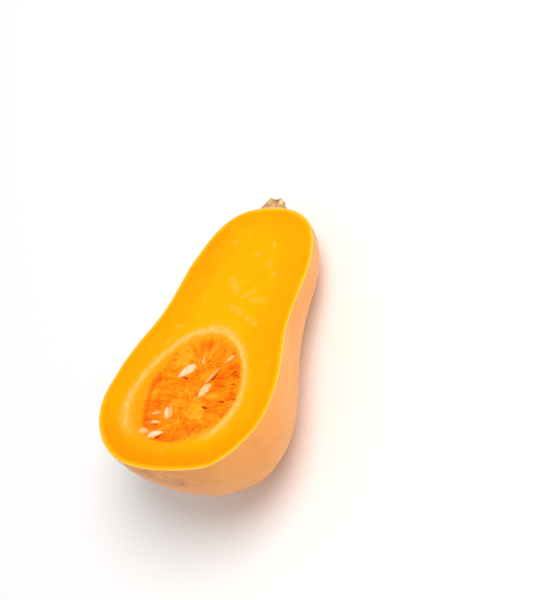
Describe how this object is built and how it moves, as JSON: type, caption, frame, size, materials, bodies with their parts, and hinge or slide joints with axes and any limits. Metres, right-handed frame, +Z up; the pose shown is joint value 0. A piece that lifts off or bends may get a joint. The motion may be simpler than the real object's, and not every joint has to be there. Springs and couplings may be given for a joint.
{
  "type": "half butternut pumpkin",
  "caption": "Butternut pumpkin cut lengthwise, lying cut face up, with its rind, orange flesh, stringy pulp with seeds, and stem stub.",
  "frame": {"origin": "middle of the bounding box at its base, on the surface that the half lies on", "axes": "+X from the blossom end to the stem, +Z up, the cut face up and tipped down towards the stem"},
  "size_m": [0.208, 0.133, 0.0954],
  "materials": {
    "rind": "smooth tan skin with a soft sheen",
    "flesh": "moist orange cut flesh",
    "seed_pulp": "wet orange strands with cream seeds",
    "stem": "dry corky stem"
  },
  "bodies": {
    "root": {"rind": "rind", "flesh": "flesh", "seed_pulp": "seed_pulp", "stem": "stem"}
  },
  "joints": []
}
